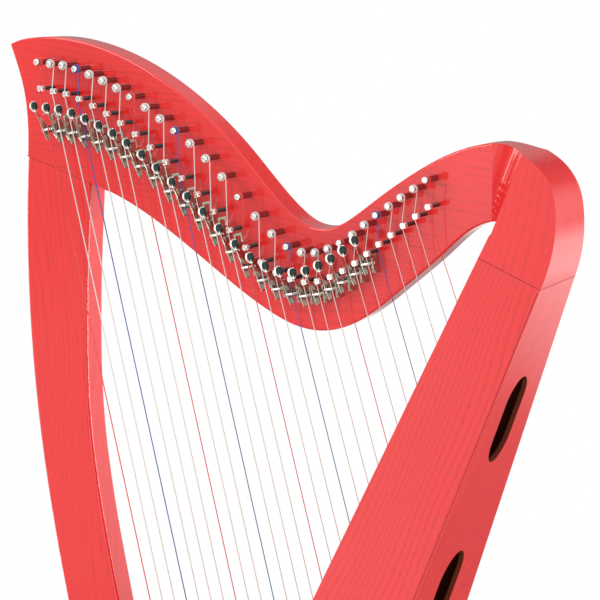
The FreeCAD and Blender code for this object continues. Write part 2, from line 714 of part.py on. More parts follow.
def main():
    os.makedirs("parts", exist_ok=True)
    save("neck", make_neck())
    save("column", make_column())
    save("shoulder_block", make_shoulder())
    save("joint_dowels", dowel_solids())
    save("soundboard", make_soundboard())
    save("side_panel_left", make_side(-1))
    save("side_panel_right", make_side(1))
    save("back_panel", make_back())
    save("box_top_block", make_top_block())
    save("tail_block", make_tail_block())
    save("string_rib_outer", make_outer_rib())
    save("string_rib_inner", make_inner_rib())
    save("soundboard_linings", make_linings(lambda s: SOUNDBOARD_THICKNESS, 812))
    save("back_linings", make_linings(lambda s: depth(s) - BACK_THICKNESS - 7.0, 763))
    save("back_braces", make_back_braces())
    save("string_eyelets", make_eyelets())
    save("string_knots", make_knots())
    save("base_board", make_base())
    save("rubber_feet", make_feet())
    save("foot_screws", [foot_screw(x, y) for x, y in foot_centres()])

    c_strings = [k for k in range(1, STRING_COUNT + 1) if k % 7 == 1]
    f_strings = [k for k in range(1, STRING_COUNT + 1) if k % 7 == 4]
    marked = c_strings + f_strings
    others = [k for k in range(1, STRING_COUNT + 1) if k not in marked]
    save("strings_c", [make_string(k) for k in c_strings])
    save("strings_f", [make_string(k) for k in f_strings])
    save("strings_plain", [make_string(k) for k in others])
    save("tuning_pins", [make_tuning_pin(k) for k in others])
    for k in marked:
        save("tuning_pin_%02d" % k, make_tuning_pin(k))
    save("bridge_pins", make_bridge_pins())

    long_bracket, short_bracket = make_bracket(True), make_bracket(False)
    brackets, screws = [], []
    lever = make_lever()
    for k in range(1, LEVER_COUNT + 1):
        brackets.append(in_lever(k, long_bracket if k <= LONG_BRACKETS else short_bracket))
        screws.extend(in_lever(k, make_screw(u)) for u in screw_places(k))
        save("lever_%02d" % k, in_lever(k, lever))
    save("lever_brackets", brackets)
    save("bracket_screws", screws)


main()
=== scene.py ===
import json
import math
import bpy
import bmesh
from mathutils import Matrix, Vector


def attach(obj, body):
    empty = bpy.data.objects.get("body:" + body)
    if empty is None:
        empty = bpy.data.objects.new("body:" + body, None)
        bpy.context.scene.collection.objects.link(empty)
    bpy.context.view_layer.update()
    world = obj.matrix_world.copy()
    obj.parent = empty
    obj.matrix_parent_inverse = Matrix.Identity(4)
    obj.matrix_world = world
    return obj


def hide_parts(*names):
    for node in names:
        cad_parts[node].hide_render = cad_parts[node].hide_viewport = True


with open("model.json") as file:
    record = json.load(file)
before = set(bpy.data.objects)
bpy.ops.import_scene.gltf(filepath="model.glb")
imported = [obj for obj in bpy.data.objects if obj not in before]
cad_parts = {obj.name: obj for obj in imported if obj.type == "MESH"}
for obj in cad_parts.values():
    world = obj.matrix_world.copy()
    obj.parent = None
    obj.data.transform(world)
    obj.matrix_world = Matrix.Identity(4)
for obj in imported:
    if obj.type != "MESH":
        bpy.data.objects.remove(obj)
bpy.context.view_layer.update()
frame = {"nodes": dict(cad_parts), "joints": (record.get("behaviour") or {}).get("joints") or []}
nodes = frame["nodes"]
MM = 0.001

# Layout of the frame and strings, the same dimensions as the CAD model, in millimetres
STRING_COUNT = 29
LEVER_COUNT = 24
NECK_HALF = 17.0                        # half the neck's thickness
BOX_TOP = Vector((233.1, 0.0, 808.1))   # top of the soundboard's face, on the middle plane
BOX_HALF_WIDTH = 53.5                   # sound box at its top
BOX_WIDENING = 0.134                    # more half width, per millimetre down the box
BOX_DEPTH = 67.0
BOX_DEEPENING = 0.075
SLANT = math.radians(23.63)             # sound box from upright
LEAN = math.radians(11.5)               # strings from upright
COLUMN_JOINT_OUTER = Vector((-286.9, 0.0, 883.6))
COLUMN_JOINT_INNER = Vector((-210.4, 0.0, 857.4))
FIRST_HOLE_S = 77.2                     # shortest string's hole, down the soundboard
HOLE_SPACING = 24.93
# Pairs of a string's number and its speaking length, or its tuning pin's distance above the bridge pin
LENGTH_AT = [(1, 873.6), (4, 793.8), (8, 665.7), (12, 513.0), (16, 354.0), (19, 266.9),
             (22, 210.7), (25, 169.5), (29, 115.5)]
PIN_RISE_AT = [(1, 27.2), (5, 32.0), (9, 40.5), (12, 51.5), (14, 53.5), (16, 46.0),
               (18, 32.0), (21, 27.3), (25, 28.0), (29, 25.5)]
PIN_SHIFT = 2.3             # tuning pins, across from the bridge pins
STANDOFF = 23.5             # strings at the bridge pins, from the neck's face
THICKEST_STRING = 0.60
THINNEST_STRING = 0.33
FOOT_OUT = 3.8              # string foot to the soundboard's face
KNOT_END = 12.5             # inner end of the anchor beads, behind the soundboard's face
TUNING_PIN_RADIUS = 3.25
BRIDGE_WAIST_RADIUS = 1.8
BRIDGE_GAP = 0.1            # string to the bridge pin's waist
TIP_START = 19.4            # pins are bright beyond this height from the neck; below it their darker, reddish colour is painted shade and painted reflection of the red neck

DOWN_BOX = Vector((-math.sin(SLANT), 0, -math.cos(SLANT)))
TO_PLAYER = Vector((math.cos(SLANT), 0, -math.sin(SLANT)))
UP_STRING = Vector((-math.sin(LEAN), 0, math.cos(LEAN)))
ACROSS = Vector((math.cos(LEAN), 0, math.sin(LEAN)))
OUTWARD = Vector((0, -1, 0))


def interpolate(table, k):
    """Smooth curve through the (key, value) pairs of a table, read at k."""
    keys = [pair[0] for pair in table]
    values = [pair[1] for pair in table]
    last = len(table) - 1

    def slope(i):
        low, high = max(i - 1, 0), min(i + 1, last)
        return (values[high] - values[low]) / (keys[high] - keys[low])

    i = max(j for j in range(last) if keys[j] <= k or j == 0)
    span = keys[i + 1] - keys[i]
    f = (k - keys[i]) / span
    return (values[i] * (2 * f**3 - 3 * f**2 + 1)
            + slope(i) * span * (f**3 - 2 * f**2 + f)
            + values[i + 1] * (3 * f**2 - 2 * f**3)
            + slope(i + 1) * span * (f**3 - f**2))


def string_radius(k):
    return THICKEST_STRING + (THINNEST_STRING - THICKEST_STRING) * (k - 1) / (STRING_COUNT - 1)


def string_foot(k):
    s = FIRST_HOLE_S + HOLE_SPACING * (STRING_COUNT - k)
    return BOX_TOP + DOWN_BOX * s - TO_PLAYER * FOOT_OUT


def bridge_contact(k):
    top = string_foot(k) + UP_STRING * interpolate(LENGTH_AT, k)
    return Vector((top.x, -(NECK_HALF + STANDOFF), top.z))


def bridge_centre(k):
    return bridge_contact(k) + ACROSS * (BRIDGE_WAIST_RADIUS + string_radius(k) + BRIDGE_GAP)


def tuning_centre(k):
    return bridge_centre(k) + UP_STRING * interpolate(PIN_RISE_AT, k) + ACROSS * PIN_SHIFT


def on_neck(point, out):
    """The point moved to a height out from the neck's face."""
    return Vector((point.x, -(NECK_HALF + out), point.z))


# ---- materials ----

def new_material(name):
    material = bpy.data.materials.new(name)
    material.use_nodes = True
    tree = material.node_tree
    return material, tree, tree.nodes["Principled BSDF"]


def set_sockets(node, **values):
    """Sets sockets by name, with underscores for the spaces."""
    for key, value in values.items():
        node.inputs[key.replace("_", " ")].default_value = value


def add_noise(tree, vector, scale, detail, roughness):
    noise = tree.nodes.new("ShaderNodeTexNoise")
    set_sockets(noise, Scale=scale, Detail=detail, Roughness=roughness)
    tree.links.new(vector, noise.inputs["Vector"])
    return noise.outputs["Fac"]


def add_bump(tree, shader, height, strength, distance):
    bump = tree.nodes.new("ShaderNodeBump")
    set_sockets(bump, Strength=strength, Distance=distance)
    tree.links.new(height, bump.inputs["Height"])
    tree.links.new(bump.outputs["Normal"], shader.inputs["Normal"])


def grain_space(tree, lean, stretch):
    """Object coordinates turned so that Z runs along the grain, then squeezed along it."""
    coords = tree.nodes.new("ShaderNodeTexCoord")
    turn = tree.nodes.new("ShaderNodeMapping")
    turn.inputs["Rotation"].default_value = (0, -lean, 0)
    squeeze = tree.nodes.new("ShaderNodeMapping")
    squeeze.inputs["Scale"].default_value = stretch
    tree.links.new(coords.outputs["Object"], turn.inputs["Vector"])
    tree.links.new(turn.outputs["Vector"], squeeze.inputs["Vector"])
    return squeeze.outputs["Vector"]


def grain_noise(tree, lean, stretch, detail, roughness):
    """Noise drawn out along the grain."""
    return add_noise(tree, grain_space(tree, lean, stretch), 1.0, detail, roughness)


def ramp(tree, source, stops):
    made = tree.nodes.new("ShaderNodeValToRGB")
    elements = made.color_ramp.elements
    while len(elements) < len(stops):
        elements.new(0.5)
    for element, (place, colour) in zip(elements, stops):
        element.position = place
        element.color = colour
    tree.links.new(source, made.inputs["Fac"])
    return made.outputs["Color"]


def grey(value):
    return (value, value, value, 1)


def math_node(tree, operation, a, b=None):
    made = tree.nodes.new("ShaderNodeMath")
    made.operation = operation
    for socket, value in zip(made.inputs, (a, b)):
        if value is None:
            continue
        if isinstance(value, (int, float)):
            socket.default_value = value
        else:
            tree.links.new(value, socket)
    return made.outputs[0]


def mix_colour(tree, fac, a, b):
    """Colour a where fac is 0 and b where it is 1."""
    made = tree.nodes.new("ShaderNodeMix")
    made.data_type = "RGBA"
    for socket, value in zip((made.inputs[0], made.inputs[6], made.inputs[7]), (fac, a, b)):
        if isinstance(value, (int, float, tuple)):
            socket.default_value = value
        else:
            tree.links.new(value, socket)
    return made.outputs[2]


RED_LIGHT = (0.82, 0.021, 0.020, 1)
RED_DEEP = (0.60, 0.007, 0.008, 1)
RED_LINE = (0.36, 0.002, 0.004, 1)
# Painted shade inside the sound box, on the inward faces of its lacquered panels
BOX_INSIDE_SHADE = (0.16, 0.035, 0.015, 1)
BOX_MIDDLE = 0.034          # metres behind the soundboard's face
INSIDE_MARGIN = 0.003       # metres from a middle plane at which an inward face counts


def inward_faces(tree):
    """1 on faces of the sound box that look towards its middle planes, 0 on the others: the mask of the
    painted shade inside the box.
    """
    coords = tree.nodes.new("ShaderNodeTexCoord")

    def facing(direction, middle):
        parts = []
        for output in ("Normal", "Object"):
            made = tree.nodes.new("ShaderNodeVectorMath")
            made.operation = "DOT_PRODUCT"
            tree.links.new(coords.outputs[output], made.inputs[0])
            made.inputs[1].default_value = direction
            parts.append(made.outputs["Value"])
        offset = math_node(tree, "SUBTRACT", parts[1], middle)
        return math_node(tree, "MULTIPLY", parts[0], offset)

    box_middle = BOX_TOP.dot(TO_PLAYER) * MM + BOX_MIDDLE
    lowest = math_node(tree, "MINIMUM", facing((0, 1, 0), 0.0), facing(tuple(TO_PLAYER), box_middle))
    return math_node(tree, "LESS_THAN", lowest, -INSIDE_MARGIN)


def lacquered_ash(name, lean, shift=0.0, rings_per_metre=150.0, contrast=1.0, hollow=False):
    """Red translucent lacquer over ash: nearly straight growth rings, pores and slow tone changes.

    The shift gives each board its own pattern. A hollow part gets painted shade, a dark brown, on its
    inward faces.
    """
    material, tree, shader = new_material(name)
    split = tree.nodes.new("ShaderNodeSeparateXYZ")
    tree.links.new(grain_space(tree, lean, (1.0, 1.0, 1.0)), split.inputs["Vector"])
    wander = grain_noise(tree, lean, (11.0 + shift, 11.0, 2.2), 2.0, 0.45)
    along_width = math_node(tree, "MULTIPLY", split.outputs["X"], rings_per_metre)
    along_thickness = math_node(tree, "MULTIPLY", split.outputs["Y"], rings_per_metre * 0.35)
    across_grain = math_node(tree, "ADD", along_width, along_thickness)
    waviness = math_node(tree, "MULTIPLY", wander, 9.0 + shift)
    rings = math_node(tree, "FRACT", math_node(tree, "ADD", across_grain, waviness))
    late_wood = ramp(tree, rings, [(0.0, grey(0.0)), (0.45, grey(0.08)), (0.86, grey(1.0)),
                                   (1.0, grey(0.0))])
    pores = grain_noise(tree, lean, (900.0, 900.0, 24.0), 3.0, 0.6)
    pore_lines = ramp(tree, pores, [(0.52, grey(0.0)), (0.70, grey(1.0))])
    cloud = grain_noise(tree, lean, (9.0, 9.0, 3.0), 1.0, 0.5)
    tone = mix_colour(tree, math_node(tree, "MULTIPLY", cloud, 0.40), RED_LIGHT, RED_DEEP)
    tone = mix_colour(tree, math_node(tree, "MULTIPLY", late_wood, 0.11 * contrast), tone, RED_LINE)
    pore_depth = math_node(tree, "ADD", math_node(tree, "MULTIPLY", late_wood, 0.45), 0.12)
    pore_amount = math_node(tree, "MULTIPLY", pore_lines, pore_depth)
    tone = mix_colour(tree, pore_amount, tone, RED_LINE)
    # painted shade on the inward faces of the hollow box
    if hollow:
        tone = mix_colour(tree, inward_faces(tree), tone, BOX_INSIDE_SHADE)
    tree.links.new(tone, shader.inputs["Base Color"])
    set_sockets(shader, Roughness=0.34, Specular_IOR_Level=0.22, Coat_Weight=1.0, Coat_Roughness=0.07)
    height = math_node(tree, "ADD", math_node(tree, "MULTIPLY", pore_lines, -0.5),
                       math_node(tree, "MULTIPLY", late_wood, -0.5))
    add_bump(tree, shader, height, 0.06, 0.0003)
    return material


def bare_wood(name, lean):
    """Unfinished pale wood with soft growth rings."""
    material, tree, shader = new_material(name)
    slow = grain_noise(tree, lean, (60.0, 60.0, 4.0), 2.0, 0.5)
    rings = math_node(tree, "FRACT", math_node(tree, "MULTIPLY", slow, 9.0))
    tone = ramp(tree, rings, [(0.0, (0.62, 0.46, 0.28, 1)), (0.8, (0.52, 0.36, 0.20, 1)),
                              (1.0, (0.36, 0.22, 0.11, 1))])
    tree.links.new(tone, shader.inputs["Base Color"])
    set_sockets(shader, Roughness=0.7)
    return material


def metal(name, colour, roughness, wear, shaft=None):
    """Plated metal with fine wiping marks. Near the neck, below the tips, the shaft colour is used:
    painted shade and painted reflection of the red neck.
    """
    material, tree, shader = new_material(name)
    place = tree.nodes.new("ShaderNodeTexCoord").outputs["Object"]
    cloud = add_noise(tree, place, 260.0, 3.0, 0.6)
    fine = add_noise(tree, place, 2600.0, 2.0, 0.5)
    shade = tuple(channel * (1 - wear) for channel in colour[:3]) + (1,)
    tone = mix_colour(tree, cloud, colour, shade)
    if shaft:
        split = tree.nodes.new("ShaderNodeSeparateXYZ")
        tree.links.new(place, split.inputs["Vector"])
        # tip mask: plain metal beyond it, the painted shade and reflection of the shaft colour below it
        tip = math_node(tree, "LESS_THAN", split.outputs["Y"], -(NECK_HALF + TIP_START) * MM)
        tone = mix_colour(tree, tip, shaft, tone)
    tree.links.new(tone, shader.inputs["Base Color"])
    rough = math_node(tree, "ADD", math_node(tree, "MULTIPLY", cloud, roughness), roughness * 0.5)
    tree.links.new(rough, shader.inputs["Roughness"])
    set_sockets(shader, Metallic=1.0)
    add_bump(tree, shader, fine, 0.05, 0.00005)
    return material


def moulded(name, colour, other, roughness, coat=0.0):
    """Plastic, nylon or rubber with a fine uneven surface."""
    material, tree, shader = new_material(name)
    noise = add_noise(tree, tree.nodes.new("ShaderNodeTexCoord").outputs["Object"], 900.0, 2.0, 0.5)
    tree.links.new(mix_colour(tree, noise, colour, other), shader.inputs["Base Color"])
    set_sockets(shader, Roughness=roughness, Coat_Weight=coat)
    add_bump(tree, shader, noise, 0.15, 0.0001)
    return material


wood_box = lacquered_ash("lacquer_box", SLANT, rings_per_metre=170.0, contrast=2.3, hollow=True)
wood_shoulder = lacquered_ash("lacquer_shoulder", math.radians(15), 0.5, 120.0, 0.9)
wood_column = lacquered_ash("lacquer_column", math.radians(-3), 3.0)
wood_neck = lacquered_ash("lacquer_neck", math.radians(97), 1.5)
wood_base = lacquered_ash("lacquer_base", math.radians(90))
wood_bare = bare_wood("bare_spruce", SLANT)
nickel = metal("polished_nickel", (0.84, 0.81, 0.74, 1), 0.14, 0.12)
bracket_nickel = metal("bracket_nickel", (0.58, 0.55, 0.46, 1), 0.18, 0.35)
# Near-black metal for the spoons' bowls: painted shade in the hollow
bowl_shade_metal = metal("bowl_painted_shade", (0.055, 0.07, 0.065, 1), 0.20, 0.3)
# The pins' shaft colours are painted shade and painted reflection of the red neck
pin_metal = metal("pin_nickel", (0.90, 0.88, 0.84, 1), 0.10, 0.08, (0.26, 0.20, 0.20, 1))
bridge_metal = metal("bridge_nickel", (0.92, 0.90, 0.86, 1), 0.10, 0.08, (0.13, 0.09, 0.09, 1))
screw_metal = metal("screw_steel", (0.70, 0.69, 0.66, 1), 0.26, 0.12)
brass = metal("eyelet_brass", (0.80, 0.60, 0.28, 1), 0.25, 0.15)
nylon_clear = moulded("nylon_clear", (0.60, 0.56, 0.53, 1), (0.74, 0.69, 0.66, 1), 0.25, coat=0.4)
nylon_red = moulded("nylon_red", (0.62, 0.02, 0.02, 1), (0.74, 0.05, 0.05, 1), 0.25, coat=0.4)
nylon_blue = moulded("nylon_blue", (0.02, 0.045, 0.26, 1), (0.04, 0.08, 0.36, 1), 0.25, coat=0.4)
bead_black = moulded("bead_black", (0.03, 0.03, 0.03, 1), (0.05, 0.05, 0.05, 1), 0.5)
rubber = moulded("foot_rubber", (0.02, 0.02, 0.02, 1), (0.04, 0.04, 0.04, 1), 0.8)

CAD_FINISH = {
    "neck": wood_neck, "column": wood_column, "shoulder_block": wood_shoulder, "soundboard": wood_box,
    "side_panel_left": wood_box, "side_panel_right": wood_box, "back_panel": wood_box,
    "string_rib_outer": wood_box, "base_board": wood_base, "joint_dowels": wood_bare,
    "box_top_block": wood_bare, "tail_block": wood_bare, "string_rib_inner": wood_bare,
    "soundboard_linings": wood_bare, "back_linings": wood_bare, "back_braces": wood_bare,
    "string_eyelets": brass, "string_knots": bead_black, "rubber_feet": rubber,
    "foot_screws": screw_metal, "tuning_pins": pin_metal, "lever_brackets": bracket_nickel,
    "bracket_screws": screw_metal, "strings_c": nylon_red, "strings_f": nylon_blue,
    "strings_plain": nylon_clear, "bridge_pins": pin_metal,
}


def finish_cad_nodes():
    """Gives each CAD node its material; the ones not listed are tuning pins and levers."""
    for name, obj in nodes.items():
        finish = CAD_FINISH.get(name, pin_metal if name.startswith("tuning_pin") else nickel)
        obj.data.materials.clear()
        obj.data.materials.append(finish)


def soften(name, width):
    """Small rounding on the sharp edges of a CAD node."""
    modifier = nodes[name].modifiers.new("edge_round", "BEVEL")
    modifier.width = width
    modifier.segments = 2
    modifier.limit_method = "ANGLE"
    modifier.angle_limit = math.radians(35)
    modifier.harden_normals = True


# ---- mesh building ----

def make_object(name, bm, materials, smooth_deg=40):
    """Object from a mesh in millimetres, sharp at edges of more than smooth_deg degrees."""
    for v in bm.verts:
        v.co *= MM
    mesh = bpy.data.meshes.new(name)
    bmesh.ops.recalc_face_normals(bm, faces=bm.faces)
    bm.to_mesh(mesh)
    bm.free()
    for polygon in mesh.polygons:
        polygon.use_smooth = True
    mesh.set_sharp_from_angle(angle=math.radians(smooth_deg))
    for material in materials:
        mesh.materials.append(material)
    obj = bpy.data.objects.new(name, mesh)
    bpy.context.scene.collection.objects.link(obj)
    return obj


def skin_rings(bm, rings):
    """Joins closed rings of points into a tube and closes its ends."""
    made = [[bm.verts.new(point) for point in ring] for ring in rings]
    for a, b in zip(made, made[1:]):
        count = len(a)
        for i in range(count):
            bm.faces.new((a[i], a[(i + 1) % count], b[(i + 1) % count], b[i]))
    for ring in (made[0], made[-1]):
        bm.faces.new(ring)


def tube(bm, path, radius, sides):
    """Round tube along a path of points."""
    count = len(path)
    forward = [(path[min(i + 1, count - 1)] - path[max(i - 1, 0)]).normalized() for i in range(count)]
    side = forward[0].orthogonal().normalized()
    rings = []
    for point, ahead in zip(path, forward):
        side = (side - ahead * side.dot(ahead)).normalized()
        up = ahead.cross(side)
        rings.append([point + (side * math.cos(a) + up * math.sin(a)) * radius
                      for a in (2 * math.pi * j / sides for j in range(sides))])
    skin_rings(bm, rings)


def lathe(bm, origin, axis, side, profile):
    """Solid of revolution about an axis, from (radius, height) pairs."""
    sides = 20
    up = axis.cross(side)
    rings = []
    for radius, height in profile:
        rings.append([origin + axis * height + (side * math.cos(a) + up * math.sin(a)) * radius
                      for a in (2 * math.pi * j / sides for j in range(sides))])
    skin_rings(bm, rings)


# ---- strings ----

WINDING_START_OUT = 25.7    # outer end of the windings
WINDING_WIDTH = 3.0         # about this much of the pin is covered
PIN_GAP = 0.1               # winding to the pin, more than its chords sag between two steps
TURN_GAP = 0.04             # from one turn of a winding to the next
STEPS_PER_TURN = 18
BEND_STEP = 1.2             # path points stand this close around the bends at the bridge pin and foot


def string_path(k):
    """From the outer end of the winding, past the bridge pin and down into the sound box."""
    radius = string_radius(k)
    pin = tuning_centre(k)
    around = TUNING_PIN_RADIUS + PIN_GAP + radius
    pitch = 2 * radius + TURN_GAP
    turns = max(2, round(WINDING_WIDTH / pitch))
    contact = bridge_contact(k)
    down = contact - on_neck(pin, STANDOFF)
    tangent = math.atan2(down.z, down.x) + math.acos(around / math.hypot(down.x, down.z))
    path = []
    for i in range(turns * STEPS_PER_TURN + 1):
        angle = tangent + 2 * math.pi * (turns - i / STEPS_PER_TURN)
        out = WINDING_START_OUT - pitch * i / STEPS_PER_TURN
        path.append(on_neck(pin, out) + Vector((math.cos(angle), 0, math.sin(angle))) * around)
    leave = path[-1]
    for share in (0.25, 0.94, 0.985):
        path.append(leave + (contact - leave) * share)
    path.append(contact)
    foot = string_foot(k)
    run = foot - contact
    step = BEND_STEP / run.length
    for share in (step, 4 * step, 0.25, 0.5, 0.75, 1 - 3 * step, 1 - step):
        path.append(contact + run * share)
    path.append(foot + TO_PLAYER * 0.5)
    path.append(foot + TO_PLAYER * 2.5)
    path.append(foot + TO_PLAYER * (KNOT_END + FOOT_OUT))
    return path


def make_strings(name, node, numbers, material):
    """The strings of one colour, in place of their CAD node."""
    bm = bmesh.new()
    for k in numbers:
        tube(bm, string_path(k), string_radius(k), sides=10)
    obj = make_object(name, bm, [material], 60)
    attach(obj, "frame")
    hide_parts(node)


# ---- bridge pins ----

# Head, waist and collar of a bridge pin: (radius, height) pairs, from the tip to the thread
BRIDGE_PIN_HEAD = [(0.6, 27.2), (2.6, 27.2), (3.0, 26.9), (3.1, 26.4), (3.1, 25.7), (2.8, 25.3),
                   (1.9, 25.0), (1.8, 24.4), (1.8, 22.6), (2.0, 22.1), (2.6, 22.0), (2.8, 21.8),
                   (2.8, 19.7), (2.6, 19.5), (2.05, 19.4)]
THREAD_TOP = 19.0
THREAD_END = 0.4
THREAD_PITCH = 0.9
THREAD_CREST_RADIUS = 2.15
THREAD_ROOT_RADIUS = 1.8
SHANK = [(2.0, 0.0), (2.0, -18.0)]      # the smooth part inside the neck


def make_bridge_pins():
    """Turned pins with a ringed thread between the neck's face and the collar."""
    bm = bmesh.new()
    profile = list(BRIDGE_PIN_HEAD)
    height = THREAD_TOP
    while height > THREAD_END:
        profile += [(THREAD_CREST_RADIUS, height), (THREAD_ROOT_RADIUS, height - THREAD_PITCH / 2)]
        height -= THREAD_PITCH
    profile += SHANK
    for k in range(1, STRING_COUNT + 1):
        lathe(bm, on_neck(bridge_centre(k), 0), OUTWARD, ACROSS, profile)
    obj = make_object("bridge_pins_turned", bm, [bridge_metal], 35)
    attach(obj, "frame")
    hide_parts("bridge_pins")


# ---- sharping levers ----

# In a lever's own axes: t across the string, u up along it, n out of the neck
AXLE_OUT = 12.5
BAR_OUT = 19.1
ARM_T = -7.5
ARM_HALF = 0.6
ARM_EDGE = 0.3              # chamfer along the arm
BEND_START = 3.0            # the arm moves across from ARM_T to SPOON_T from here on
BEND_LENGTH = 19.0
SPOON_T = -4.6
SPOON_U = 25.5
SPOON_N = 33.0
SPOON_RADIUS = 5.1
SPOON_STRETCH = 0.28        # share of its radius by which the spoon reaches towards the arm
SPOON_PINCH = 0.06          # share of its width lost there
SPOON_DROP = 0.25           # and how far its edge drops there
BOWL_SHIFT = 0.55           # the bowl's rings, across from the spoon's centre
BOWL_RINGS = 4              # entries of SPOON_PROFILE inside the rim; the faces between them get painted shade
SPOON_SIDES = 36
ACROSS_LEVER = Vector((1, 0, 0))
UP_LEVER = Vector((0, 1, 0))
# Stations along the arm: (u, n, half width), from the tail to the spoon's neck
ARM_STATIONS = [(-11.2, 12.3, 1.6), (-10.4, 12.35, 3.0), (-6.0, 13.3, 4.1), (-1.5, 14.4, 5.0),
                (3.0, 16.4, 4.3), (7.5, 19.8, 3.2), (12.0, 24.4, 2.0), (16.0, 28.6, 1.3),
                (19.5, 31.2, 0.9), (22.5, 32.3, 0.8)]
# Spoon from the middle of its bowl over the rim to its back: (share of the radius, height) pairs
SPOON_PROFILE = [(0.0, -1.0), (0.45, -0.96), (0.70, -0.80), (0.80, -0.50), (0.95, 0.02),
                 (0.99, 0.18), (1.0, 0.02), (0.97, -0.35), (0.85, -0.95), (0.6, -1.45),
                 (0.3, -1.65), (0.0, -1.7)]
# Fret bar and axle: (radius, t) pairs
FRET_BAR = [(0.9, -8.5), (1.6, -8.35), (1.9, -8.0), (1.9, -6.9), (1.4, -6.8), (1.4, 1.2),
            (1.3, 1.5), (1.0, 1.6)]
AXLE = [(0.8, -8.9), (1.7, -8.75), (2.1, -8.4), (2.2, -8.0), (2.2, -6.9), (1.3, -6.85),
        (1.3, 3.5), (1.1, 3.75), (0.7, 3.8)]


def smooth_stations(stations):
    """Catmull-Rom curve through the stations."""
    steps = 4
    result = []
    for i in range(len(stations) - 1):
        p0 = stations[max(i - 1, 0)]
        p1, p2 = stations[i], stations[i + 1]
        p3 = stations[min(i + 2, len(stations) - 1)]
        for j in range(steps):
            f = j / steps
            result.append(tuple(
                0.5 * (2 * b + (c - a) * f + (2 * a - 5 * b + 4 * c - d) * f**2
                       + (3 * b - a - 3 * c + d) * f**3)
                for a, b, c, d in zip(p0, p1, p2, p3)))
    result.append(stations[-1])
    return result


def add_arm(bm):
    """Flat chamfered arm that bends from beside the string to the spoon."""
    stations = smooth_stations(ARM_STATIONS)
    rings = []
    for i, (u, n, half) in enumerate(stations):
        before, after = stations[max(i - 1, 0)], stations[min(i + 1, len(stations) - 1)]
        ahead = Vector((0, after[0] - before[0], after[1] - before[1])).normalized()
        outward = Vector((0, -ahead.z, ahead.y))
        bend = min(1.0, max(0.0, (u - BEND_START) / BEND_LENGTH))
        bend = bend * bend * (3 - 2 * bend)
        centre = Vector((ARM_T + (SPOON_T - ARM_T) * bend, u, n))
        edge = min(ARM_EDGE, half * 0.4)
        ring = []
        for side_t, side_n in ((-1, -1), (1, -1), (1, 1), (-1, 1)):
            insets = [(0, edge), (edge, 0)]
            if side_t * side_n < 0:
                insets.reverse()
            for inset_t, inset_n in insets:
                ring.append(centre + Vector((side_t * (ARM_HALF - inset_t), 0, 0))
                            + outward * side_n * (half - inset_n))
        rings.append(ring)
    skin_rings(bm, rings)


def spoon_ring(bm, share, lift, shift):
    """One ring of the spoon, drawn out a little towards the arm. At share 0 it is a point."""
    if share == 0.0:
        return [bm.verts.new(Vector((SPOON_T, SPOON_U, SPOON_N + lift)))]
    ring = []
    for j in range(SPOON_SIDES):
        a = 2 * math.pi * j / SPOON_SIDES
        toward_arm = max(0.0, -math.cos(a)) ** 6
        reach = SPOON_RADIUS * share * (1 + SPOON_STRETCH * toward_arm)
        squeeze = 1 - SPOON_PINCH * toward_arm
        ring.append(bm.verts.new(Vector((SPOON_T + shift + reach * math.sin(a) * squeeze,
                                         SPOON_U + reach * math.cos(a),
                                         SPOON_N + lift - SPOON_DROP * toward_arm * share))))
    return ring


def add_spoon(bm):
    """Round spoon whose hollow bowl gets a near-black metal, painted shade."""
    rings = [spoon_ring(bm, share, lift, BOWL_SHIFT if place < BOWL_RINGS else 0)
             for place, (share, lift) in enumerate(SPOON_PROFILE)]
    for index, (a, b) in enumerate(zip(rings, rings[1:])):
        for j in range(SPOON_SIDES):
            following = (j + 1) % SPOON_SIDES
            if len(a) == 1:
                face = bm.faces.new((a[0], b[j], b[following]))
            elif len(b) == 1:
                face = bm.faces.new((a[j], b[0], a[following]))
            else:
                face = bm.faces.new((a[j], b[j], b[following], a[following]))
            # faces inside the bowl get the painted shade material
            face.material_index = 1 if index < BOWL_RINGS - 1 else 0


def lever_mesh():
    """Arm, spoon, fret bar and axle of one lever, in its own axes."""
    bm = bmesh.new()
    add_arm(bm)
    add_spoon(bm)
    lathe(bm, Vector((0, 0, BAR_OUT)), ACROSS_LEVER, UP_LEVER, FRET_BAR)
    lathe(bm, Vector((0, 0, AXLE_OUT)), ACROSS_LEVER, UP_LEVER, AXLE)
    return bm


def make_levers():
    """One lever on each joint, about the axle that the frame gives."""
    placements = {joint["child"]: joint for joint in frame["joints"]}
    for k in range(1, LEVER_COUNT + 1):
        body = "lever_%02d" % k
        axle = Vector(placements[body]["pos_m"]) / MM
        origin = on_neck(axle, 0)
        bm = lever_mesh()
        for v in bm.verts:
            t, u, n = v.co
            v.co = origin + ACROSS * t + UP_STRING * u + OUTWARD * n
        obj = make_object("%s_handle" % body, bm, [nickel, bowl_shade_metal])
        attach(obj, body)
        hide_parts(body)


# ---- stage, lights and camera ----

def area_light(name, position, target, size, energy):
    data = bpy.data.lights.new(name, "AREA")
    data.shape = "RECTANGLE"
    data.size, data.size_y = size
    data.energy = energy
    obj = bpy.data.objects.new(name, data)
    obj.location = position
    obj.rotation_euler = (Vector(target) - Vector(position)).to_track_quat("-Z", "Y").to_euler()
    bpy.context.scene.collection.objects.link(obj)


# Brightness of what reflections see, by direction: degrees from -Y, positive towards +X
WALLS = [(-180, 0.12), (-172, 0.30), (-150, 0.30), (-120, 0.6), (-104, 1.0), (-98, 4.5),
         (-84, 4.5), (-78, 0.5), (-60, 0.12), (-42, 0.30), (-35, 0.75), (-26, 0.70),
         (-21, 1.9), (-12, 1.2), (0, 0.5), (20, 0.8), (30, 2.6), (42, 2.6),
         (50, 0.3), (80, 0.3), (105, 1.0), (135, 1.3), (156, 1.0), (165, 0.08)]
FLOOR_RADIUS = 1250


